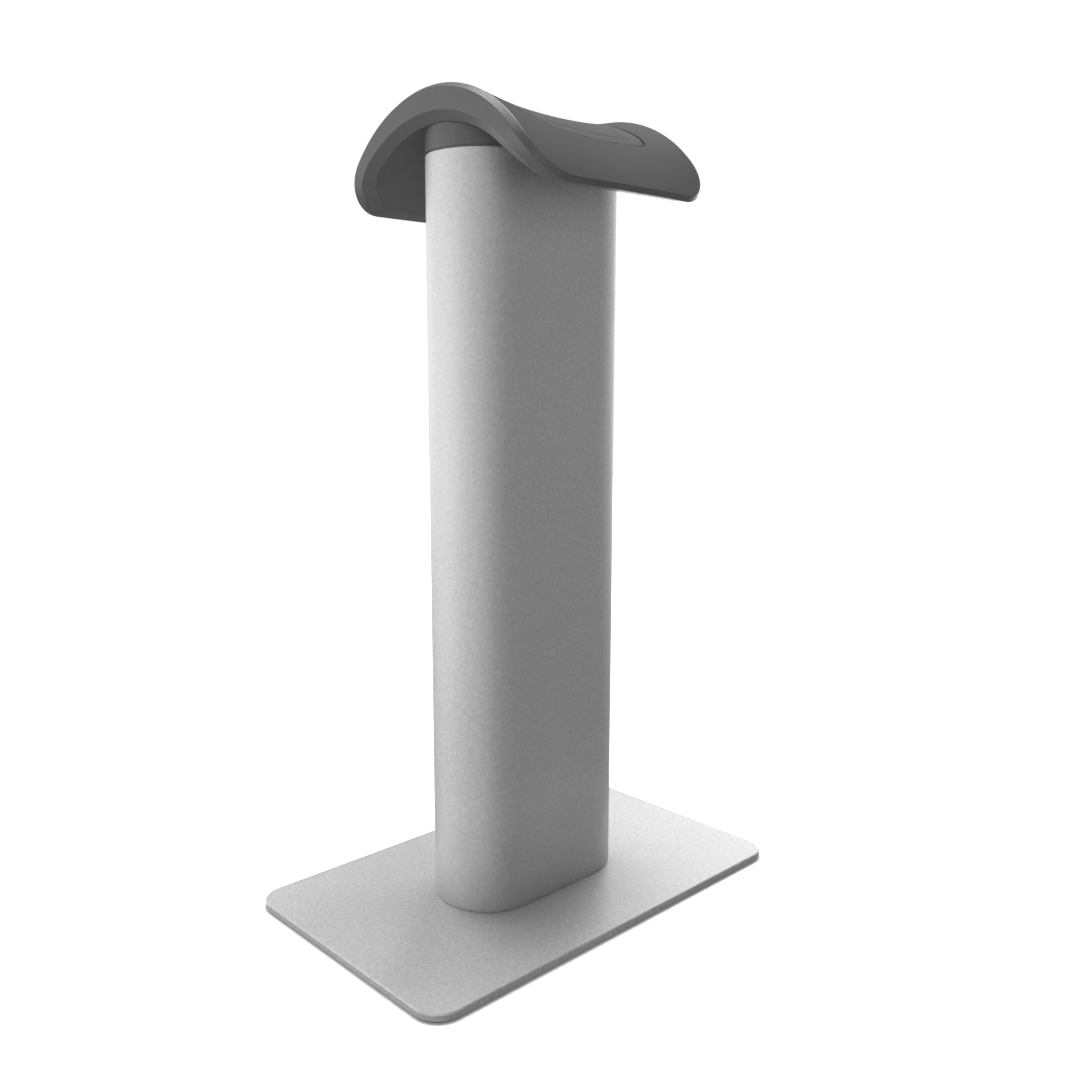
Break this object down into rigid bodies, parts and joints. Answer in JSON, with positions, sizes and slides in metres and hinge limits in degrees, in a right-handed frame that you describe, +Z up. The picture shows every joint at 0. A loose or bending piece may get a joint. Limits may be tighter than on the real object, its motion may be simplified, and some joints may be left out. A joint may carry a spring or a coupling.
{
  "type": "headphone stand",
  "caption": "Free-standing stand: flat plate, upright stadium-section column and an arched saddle with raised lips that holds a headphone band.",
  "frame": {"origin": "centre of the base on the surface that the stand rests on", "axes": "+Z up along the column; Y along the long side of the base and the long side of the column's section; X across the saddle, from one wing to the other"},
  "size_m": [0.0996, 0.16, 0.2661],
  "materials": {
    "base_metal": "fine bead-blasted, clear anodised, satin silver",
    "column_metal": "fine bead-blasted, clear anodised, satin silver",
    "pad_rubber": "matte black anti-slip sheet",
    "saddle_plastic": "fine matte spark-eroded texture, dark grey",
    "inlay_rubber": "soft-touch matte, dark grey",
    "screw_steel": "zinc-plated"
  },
  "bodies": {
    "root": {"base_plate": "base_metal", "base_pad": "pad_rubber", "base_screws": "screw_steel", "column": "column_metal", "saddle_core": "saddle_plastic", "saddle_inlay": "inlay_rubber", "saddle_screws": "screw_steel", "saddle_washers": "screw_steel"}
  },
  "joints": []
}
